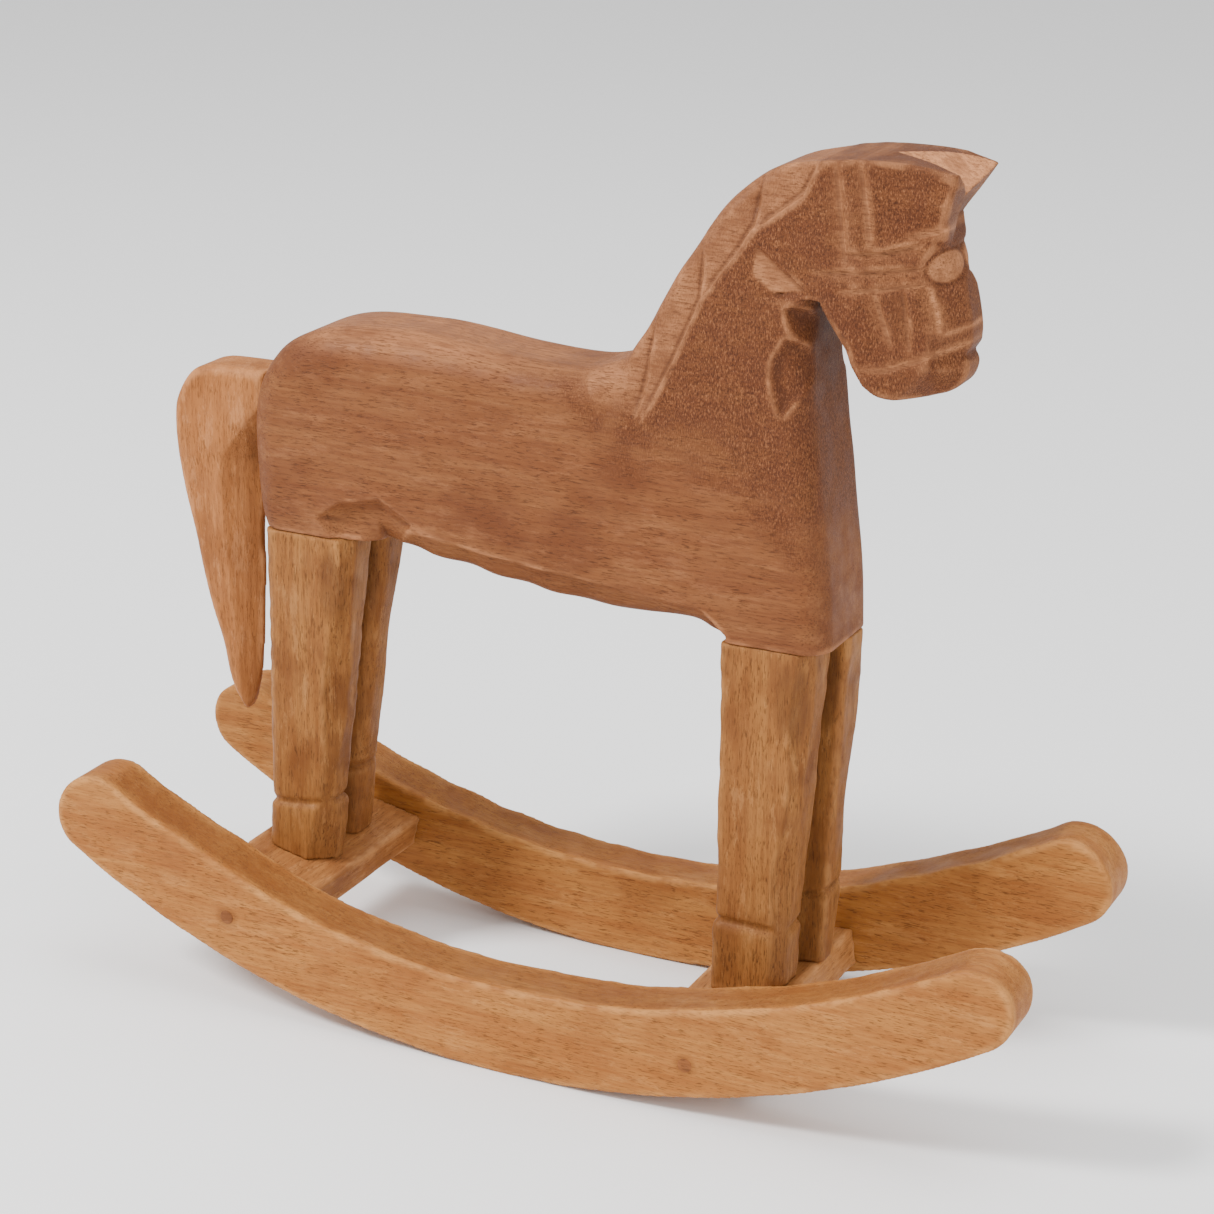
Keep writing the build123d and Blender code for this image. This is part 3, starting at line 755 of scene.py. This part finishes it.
def from_outline(outline, x, z):
    """Distance from a closed outline, negative inside it."""
    outline = np.array(outline, float)
    closed = np.vstack([outline, outline[:1]])
    distance = from_line(closed, x, z)[0]
    inside = np.zeros(distance.shape, bool)
    for (ax, az), (bx, bz) in zip(closed[:-1], closed[1:]):
        if az != bz:
            inside ^= ((az > z) != (bz > z)) & (x < ax + (z - az) * (bx - ax) / (bz - az))
    return np.where(inside, -distance, distance)


def stroke(line, left, right, depth, x, z, ends=0.0):
    """Depth of a knife stroke along a line: a V with one wide wall and one steep one,
    left and right of the line's direction, whose ends run out to a share of its depth."""
    distance, share, side = from_line(line, x, z)
    wall = np.where(side > 0, left, right)
    run_out = np.clip(np.minimum(share, 1 - share) * 6, 0, 1) * (1 - ends) + ends
    return depth * run_out * np.clip(1 - distance / wall, 0, 1)


def slice_off(region, hinge, slope, x, z, lip=0.5):
    """Depth of a flat slice inside a region, growing with distance from its hinge line."""
    (ax, az), (bx, bz) = hinge
    length = math.hypot(bx - ax, bz - az)
    beyond = ((bx - ax) * (z - az) - (bz - az) * (x - ax)) / length
    within = np.clip(-from_outline(region, x, z) / lip + 0.5, 0, 1)
    return within * slope * np.maximum(beyond, 0)


def scoop(region, depth, x, z, reach=4.0):
    """Depth of a rounded hollow inside a region."""
    within = np.clip(-from_outline(region, x, z) / reach, 0, 1)
    return depth * within * (2 - within)


low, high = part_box("body")
x, y, z = axes = block(low / mm - Vector((2, 2, 2)), high / mm + Vector((2, 2, 2)), horse_cell)
outline = np.vstack([smooth_line(run)[:-1] for run in side_view])
profile = from_outline(outline, x, z).astype(np.float32)
# The near ear is broader at its root than the far one, and its tip is cut off straight.
near_ear = [(98, 276), (112.4, 274.6), (110.4, 268), (109, 262), (108.2, 257), (107, 254), (98, 252)]
near_profile = np.minimum(profile, from_outline(near_ear, x, z))
near_profile = np.maximum(near_profile, x - 111.6 - 8 * np.clip((264 - z) / 4, 0, 1))
profile = profile + (near_profile - profile) * np.clip((head_middle_y - 2 - y) / 3, 0, 1)

# Width: full through the torso, drawn in up the neck and towards the muzzle.
neck_share = np.clip((z - 205) / 60, 0, 1)
muzzle_share = np.clip((x - 84) / 30, 0, 1) * np.clip((z - 205) / 6, 0, 1) * np.clip((266 - z) / 10, 0, 1)
half_width = torso_half - 3.6 * neck_share - 6.4 * muzzle_share
middle_y = horse_y + (head_middle_y - horse_y) * neck_share

# Mane: the crest's corner is sliced away as far as a cut line down the neck, and each
# lock is one long cut, deepest against the next lock or the neck.
mane_edge = [
    (72, 275), (67.5, 265), (53, 253.8), (49.5, 248), (37.8, 231.8), (30.5, 214), (24, 200), (20, 193),
]
mane_region = mane_edge + [(10, 196), (2, 204), (5, 222), (30, 262), (60, 286), (73, 286)]
locks = [
    ([(71.4, 274.4), (67, 265), (53.4, 254)], 8.5, 2.2),
    ([(54, 268), (52.6, 255), (49, 248.4), (38.4, 232.8)], 7.5, 2.2),
    ([(37, 246), (37.6, 232), (30.3, 214), (22, 196.6)], 7.0, 2.2),
    ([(22.8, 222), (21.6, 210), (19.4, 196)], 5.5, 1.8),
]
mane_fade = np.clip((z - 192) / 8, 0, 1) * np.clip((x - 6 + 0.6 * (z - 200)) / 12, 0, 1)
within_mane = np.clip(-from_outline(mane_region, x, z) / 0.6 + 0.5, 0, 1)
relief = within_mane * mane_fade * (0.4 + 0.42 * np.minimum(from_line(mane_edge, x, z)[0], 14))
for line, wide, depth in locks:
    relief = relief + stroke(line, 0.7, wide, depth, x, z, ends=0.3)

# Headstall, cheek strokes and mouth: knife strokes, each with one steep wall. For each
# line: width of the wall on its left and on its right, and depth.
strokes = [
    ([(76.4, 275.5), (78.4, 262), (80.8, 246.5)], 2.0, 4.4, 1.5),
    ([(83.6, 276.5), (85.8, 263), (87.4, 251.5)], 2.2, 3.4, 1.4),
    ([(80, 250), (91, 251.2), (102, 254.6)], 0.8, 4.2, 1.3),
    ([(72.5, 244.2), (86, 245.4), (103.5, 248)], 0.7, 3.4, 1.1),
    ([(80, 239.6), (90, 241), (104.5, 243.8)], 0.6, 1.8, 0.7),
    ([(89.4, 240.4), (92, 233), (95.2, 225)], 0.9, 3.6, 0.9),
    ([(97, 241.6), (100, 224.6)], 0.9, 4.0, 1.5),
    ([(103.8, 243.4), (106.4, 236), (107.8, 228.6)], 1.4, 4.0, 1.1),
    ([(87, 218), (93, 218.2), (103, 222), (111, 225.4), (117, 228.2)], 2.2, 0.8, 0.8),
    ([(108, 229.4), (117, 233)], 0.9, 2.0, 1.1),
    ([(98.5, 256), (106, 258), (114, 260.4)], 2.0, 1.0, 0.7),
]
for line, left, right, depth in strokes:
    relief = relief + stroke(line, left, right, depth, x, z, ends=0.35)
ear_face = [
    (87, 277), (85.5, 262), (87.5, 251.5), (100, 255), (107.4, 260), (110.4, 268), (111.4, 273), (100, 275.4),
]
relief = relief + scoop(ear_face, 1.6, x, z, reach=9)

# Cheek and throat: one flat chip, and two gouged hollows behind the jaw.
cheek_chip = [(54.5, 249.5), (69.8, 238.6), (60.8, 236.6), (54, 241.4)]
relief = relief + slice_off(cheek_chip, ((52, 246), (61, 236)), 0.2, x, z)
relief = relief + stroke([(59.5, 236.6), (70.4, 238.2)], 0.4, 2.2, 1.3, x, z, ends=0.4)
throat = [(72, 233), (74, 236), (84, 224), (86, 198), (73, 204), (71.6, 222)]
relief = relief + scoop(throat, 2.6, x, z, reach=5)
gouge = smooth_line([
    (63.6, 233), (67.2, 233.8), (71.6, 231.6), (75.8, 226.6), (77, 221), (73, 220.8), (68.6, 223.8),
    (65, 228.4), (63.6, 233),
])
relief = relief + scoop(gouge, 3.0, x, z, reach=3.4)
almond = smooth_line([
    (64.4, 224.6), (61.4, 219.6), (60.2, 213.4), (61.6, 207), (64.4, 202), (68.8, 206.6), (72.2, 213),
    (72, 219.4), (68.6, 223.8), (64.4, 224.6),
])
relief = relief + scoop(almond, 2.2, x, z, reach=3.4)

# Eyes: a smooth lens left standing in a shallow socket, on the corner of brow and cheek.
eye_forward, eye_aside, eye_height = 107.6, 7.6, 248.1
eye_half_length, eye_half_height, eye_tilt = 6.5, 4.6, 0.12
face_turn_forward, face_turn_aside = 0.64, 0.77


def eye_share(forward, aside, height):
    """How far a place is from the middle of an eye, seen square on: 1 on its rim."""
    across = face_turn_aside * (forward - eye_forward) - face_turn_forward * (aside - eye_aside)
    above = height - eye_height - eye_tilt * across
    return np.hypot(across / eye_half_length, above / eye_half_height)


eye = eye_share(x, np.abs(y - head_middle_y), z)
relief = relief * np.clip((eye - 1) / 0.3, 0, 1)

# Haunch and belly: a hollow over the stifle, and a long slice under the belly's edge.
haunch_hollow = [(-86, 150), (-78, 156), (-64, 159), (-52, 152.5), (-58, 145), (-66, 140), (-80, 142)]
relief = relief + scoop(haunch_hollow, 4.2, x, z, reach=8)
belly_ridge = [(-66, 157.6), (-50, 150.4), (-30, 147), (0, 144.4)]
belly_slice = belly_ridge + [(28, 143.6), (40, 143), (50, 134), (46, 126), (-66, 126)]
uneven = 1 + 0.22 * sway(24, 66, x)
relief = relief + uneven * slice_off(belly_slice, ((50, 141), (-66, 151)), 0.6, x, z, lip=1.2)

# The rounding-over of the block's edges, wide on the back and rump, tight on the head.
back_round = 11.5 - 8.5 * np.clip((x - 2) / 14, 0, 1)
side_round = np.where(z > 180, back_round, 6.0)
upper = np.clip((z - 160) / 30, 0, 1)
lower_round = 3.2 + 3.8 * np.clip((-48 - x) / 14, 0, 1)
side_round = side_round * upper + lower_round * (1 - upper)
breast = np.clip((x - 50) / 20, 0, 1) * np.clip((244 - z) / 12, 0, 1)
rump = np.clip((-60 - x) / 20, 0, 1) * np.clip((z - 147) / 14, 0, 1)
side_round = side_round + (8.5 - side_round) * breast
side_round = side_round + (10.0 - side_round) * rump
head = (z > 236) & (x > 60) | (z > 205) & (x > 74 + 0.5 * (236 - z))
side_round = np.where(head, np.where(z > 256, 0.9, 1.6), side_round)

hewn = 0.28 * sway(46, 61, x, z) + 0.14 * sway(17, 62, x, z)
chipped = 0.07 * sway(5.5, 65, x, z) * np.clip((z - 196) / 20, 0, 1)
near_side = (middle_y - y) - (half_width - relief) + hewn + chipped
far_side = (y - middle_y) - (half_width - relief) + 0.3 * sway(43, 63, x, z) + chipped
sides = np.maximum(near_side, far_side)
horse = round_meet(profile + 0.2 * sway(30, 64, x, z), sides, side_round)
seat_height = np.where(x < -65.5, rear_seat, front_seat)
horse = round_meet(horse, seat_height - z, 0.6)

# Face: its front corners are taken off, and each eye's lens bulges from a shallow socket.
face_corner = profile * face_turn_forward + (np.abs(y - head_middle_y) - face_half) * face_turn_aside
for past in ((z - 247) / 18, (106 - x) / 10):
    face_corner = face_corner - 8 * np.clip(past, 0, 1)
face_corner = face_corner - 40 * np.clip((96 - x) / 10, 0, 1)
horse = round_meet(horse, face_corner, 0.8 + 4.0 * np.clip(1.7 - eye, 0, 1))
lens = np.sqrt(np.clip(1 - eye**2, 0, 1))
horse = horse + np.where(eye < 1, 0.8 - 1.5 * lens, 0.8 * np.clip(1.25 - eye, 0, 0.25) / 0.25)


# Ears: parted by a wide V, cut down towards the forehead.
ear_slope = 0.74


def valley_floor_at(forward):
    """Height of the bottom of the V between the ears."""
    return 278.4 - 0.53 * (forward - 86)


valley = (valley_floor_at(x) + ear_slope * np.abs(y - head_middle_y) - z) / 1.35
horse = np.where(x > 70, np.maximum(horse, -valley), horse)

horse_wood = wood(
    "horse_wood", light=(0.21, 0.0781, 0.026, 1), middle=(0.166, 0.0549, 0.0179, 1),
    dark=(0.0967, 0.026, 0.00763, 1), grain="X", stipple_height=204, pale_gain=2.6, worn=0.32,
    pore_depth=0.55, rub=0.1, seed=1.0, blotches=0.5,
)
piece = carve("horse_carved", horse.astype(np.float32), axes, horse_cell, wear_reach=1.6)
thin = piece.modifiers.new("thin_flat_faces", "DECIMATE")
thin.ratio = 0.5
bake(piece, thin)
at_x, at_y, at_z = points_of(piece)
# Pale marks: bare wood on the mane and on the ears' inner faces; along the cuts, bare wood at their bottoms
# and a painted highlight on their steep walls; and a painted highlight on top of the back.
bare = np.clip(0.5 - from_outline(mane_region, at_x, at_z), 0, 1) * np.clip((at_z - 196) / 8, 0, 1) * 0.6
# Along each lock and stroke the pale is partly bare cut wood and partly a painted highlight on its steep
# wall.
for line, wide, depth in locks:
    bare = np.maximum(bare, stroke(line, 1.3, 1.6, 1.1, at_x, at_z, ends=0.6))
for line, left, right, depth in strokes:
    bare = np.maximum(bare, stroke(line, left + 0.5, min(right, 1.6), 1.0, at_x, at_z, ends=0.5))
    bare = np.maximum(bare, stroke(line, left + 0.5, right + 0.5, 0.45, at_x, at_z, ends=0.5))
bare = np.maximum(bare, 0.8 * np.clip(0.5 - from_outline(cheek_chip, at_x, at_z), 0, 1))
# Painted highlight: a pale rim on the left side of the almond and of the gouge.
for region, left_edge in ((almond, 65), (gouge, 66)):
    rim = np.clip(1.5 - np.abs(from_outline(region, at_x, at_z)) / 0.8, 0, 1)
    bare = np.maximum(bare, 0.5 * rim * np.clip((left_edge - at_x) / 2, 0, 1))
ear_inside = np.abs(valley_floor_at(at_x) + ear_slope * np.abs(at_y - head_middle_y) - at_z) < 0.4
bare = np.maximum(bare, np.where(ear_inside & (at_x > 72), 1.6, 0.0))
eye = eye_share(at_x, np.abs(at_y - head_middle_y), at_z)
bare = np.maximum(bare, 0.8 * np.clip(6 * (1.02 - eye), 0, 1) * (at_x > 98))
chance = np.clip(0.6 + sway(14, 67, at_x), 0, 1)
bare = np.maximum(bare, 0.8 * chance * stroke(belly_ridge, 1.8, 0.8, 1.0, at_x, at_z))
# Painted highlight: the top of the back is made paler.
back_highlight = 0.5 * np.clip((at_z - 200) / 7, 0, 1) * np.clip((12 - at_x) / 10, 0, 1)
bare = np.maximum(bare, back_highlight)
mark(piece, "bare", bare)
edge_marks = wear_of(piece)
# Painted shade: dark lines along the bottoms of the locks and the strokes, and darkening inside the almond
# and the gouge.
for line, wide, depth in locks:
    edge_marks -= 0.25 * stroke(line, 0.8, 0.9, 1.0, at_x, at_z, ends=0.5)
for line, left, right, depth in strokes:
    edge_marks -= 0.22 * stroke(line, 0.6, 0.6, 1.0, at_x, at_z, ends=0.4)
for region in (almond, gouge):
    edge_marks -= 0.16 * np.clip(-from_outline(region, at_x, at_z) / 2 - 0.2, 0, 1)
mark(piece, "edge", edge_marks)
piece.data.materials.append(horse_wood)
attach(piece, "root")
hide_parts("body")


# -------------------- Dowels
# Beech dowels with chamfered ends: one stands in the top of each
# leg and runs up into the torso, and one pins the tail to the rump.
dowel_chamfer = 0.8


def make_dowel(size, add, amount, join, raised, lathe):
    """A dowel centred on its place along its own Z."""
    inner = amount(size["Radius"], "SUBTRACT", size["Chamfer"])
    start = amount(size["Length"], "MULTIPLY", -0.5)
    trunk = amount(size["Length"], "SUBTRACT", amount(size["Chamfer"], "MULTIPLY", 2.0))
    trunk_at = amount(start, "ADD", size["Chamfer"])
    top_at = amount(trunk_at, "ADD", trunk)
    lower = lathe(inner, size["Radius"], size["Chamfer"], rise=start, sides=28)
    middle = lathe(size["Radius"], size["Radius"], trunk, rise=trunk_at, sides=28)
    return join(lower, middle, lathe(size["Radius"], inner, size["Chamfer"], rise=top_at, sides=28))


dowel_wood = wood(
    "dowel_wood", light=(0.62, 0.42, 0.24, 1), middle=(0.55, 0.36, 0.2, 1), dark=(0.4, 0.24, 0.12, 1),
    grain="Z", seed=17.0, blotches=0.2,
)
for name, nodes_replaced, along in (
    ("leg_dowels", [f"{side}_{end}_leg_dowel" for side, end in leg_places], (0, 0, 1)),
    ("tail_dowel_turned", ["tail_dowel"], (1, 0, 0)),
):
    low, high = (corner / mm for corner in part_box(nodes_replaced[0]))
    dowel_sizes = {"Radius": (high.y - low.y) / 2, "Length": max(high - low), "Chamfer": dowel_chamfer}
    dowel_tree = repeat_tree(name, dowel_sizes, make_dowel)
    dowel_places = [(sum(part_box(node), Vector()) / 2 / mm, along) for node in nodes_replaced]
    piece = repeat(name, dowel_tree, dowel_places, dowel_sizes, dowel_wood)
    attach(piece, "root")
    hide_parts(*nodes_replaced)


# -------------------- Tail
# A curved blade of the same wood, thinned to its tip with a few long knife facets and
# pinned to the rump at its root, so that it hangs clear of the legs.
tail_cell = 0.8
tail_root_half = 9.0
tail_tip_half = 3.2
tail_view = [
    [(rump_x, 189.4), (-123, 189.4), (-131.6, 188.8), (-137, 186.4), (-141, 180.4), (-143.3, 172.6),
     (-142.8, 158.4), (-139, 136), (-134.2, 113.4), (-129, 90.8), (-125.6, 79)],
    [(-125.2, 79), (-122.5, 74.8), (-120.2, 77.6)],
    [(-120.2, 77.6), (-117.4, 90), (-115.6, 108), (-115.8, 128), (-115.8, 150), (-113.5, 163), (rump_x, 170)],
    [(rump_x, 170), (rump_x, 189.4)],
]
low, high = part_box("tail")
x, y, z = axes = block(low / mm - Vector((1, 1, 1)), high / mm + Vector((0, 1, 1)), tail_cell)
tail_outline = np.vstack([smooth_line(run)[:-1] for run in tail_view])
tail_profile = from_outline(tail_outline, x, z)
tail_half = tail_tip_half + (tail_root_half - tail_tip_half) * np.clip((z - 76) / 90, 0, 1)
tail_sides = np.abs(y - horse_y) - tail_half + 0.3 * sway(40, 71, z, x)
tail = round_meet(tail_profile + 0.25 * sway(24, 72, z), tail_sides, 2.4 + 0.7 * sway(30, 73, z))
spine = np.interp(z.ravel(), [75, 90, 136, 160, 192], [-122.5, -122.5, -126, -127, -122]).reshape(z.shape)
front_facet = (x - spine) * 0.5 + (np.abs(y - horse_y) - tail_half) * 0.87
tail = np.maximum(tail, front_facet + 0.4 - 9 * np.clip((z - 150) / 34, 0, 1) ** 2)
tail = np.maximum(tail, x - rump_x)
tail_wood = wood(
    "tail_wood", light=(0.422, 0.164, 0.0506, 1), middle=(0.319, 0.114, 0.0304, 1),
    dark=(0.169, 0.0515, 0.0121, 1), grain="Z", seed=6.0, blotches=0.45,
)
piece = carve("tail_carved", tail.astype(np.float32), axes, tail_cell)
at_x, at_y, at_z = points_of(piece)
from_joint = np.hypot((at_x - rump_x) / 8, (at_z - 160) / 13)
mark(piece, "edge", wear_of(piece) - 0.35 * np.clip(1.4 - from_joint, 0, 1))
piece.data.materials.append(tail_wood)
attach(piece, "root")
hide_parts("tail")


# -------------------- Studio
# A pale floor and soft light from above and in front, and the camera that looks at the
# horse's right side from a little ahead of it.
floor_mesh = bpy.data.meshes.new("floor")
floor_mesh.from_pydata([(-4, -4, 0), (4, -4, 0), (4, 4, 0), (-4, 4, 0)], [], [(0, 1, 2, 3)])
floor = stand("floor", floor_mesh)
floor_paint = bpy.data.materials.new("floor_paint")
floor_paint.use_nodes = True
paint = floor_paint.node_tree.nodes["Principled BSDF"].inputs
paint["Base Color"].default_value = (0.95, 0.95, 0.95, 1)
paint["Roughness"].default_value = 0.8
floor.data.materials.append(floor_paint)

world = bpy.data.worlds.new("studio")
world.use_nodes = True
sky = world.node_tree.nodes["Background"].inputs
sky["Color"].default_value = (1, 1, 1, 1)
sky["Strength"].default_value = 0.88
bpy.context.scene.world = world


def soft_light(name, place, size, power):
    """A square soft box at a place, in metres, pointing at the horse."""
    light = bpy.data.lights.new(name, "AREA")
    light.size = size
    light.energy = power
    lamp = stand(name, light)
    lamp.location = place
    lamp.rotation_euler = (Vector((0, 0, 0.14)) - Vector(place)).to_track_quat("-Z", "Y").to_euler()


soft_light("key_light", (-0.95, -1.0, 1.4), 0.4, 44)
soft_light("top_light", (0.3, 0.1, 1.8), 1.4, 16)
soft_light("front_fill", (1.2, -0.8, 0.6), 0.8, 9)

camera_azimuth = 0.430
camera_elevation = 0.331
camera_roll = 0.0239
camera_distance = 0.9326
camera_target = Vector((0.0052, 0, 0.1312))
away = Vector((
    math.sin(camera_azimuth) * math.cos(camera_elevation),
    -math.cos(camera_azimuth) * math.cos(camera_elevation),
    math.sin(camera_elevation),
))
level = (-away).cross(Vector((0, 0, 1))).normalized()
upright = level.cross(-away)
right = level * math.cos(camera_roll) + upright * math.sin(camera_roll)
up = upright * math.cos(camera_roll) - level * math.sin(camera_roll)
camera_lens = bpy.data.cameras.new("camera")
camera_lens.sensor_width = 36
camera_lens.lens = 92.32
camera = stand("camera", camera_lens)
camera.matrix_world = Matrix((right, up, away)).transposed().to_4x4()
camera.location = camera_target + away * camera_distance
bpy.context.scene.camera = camera
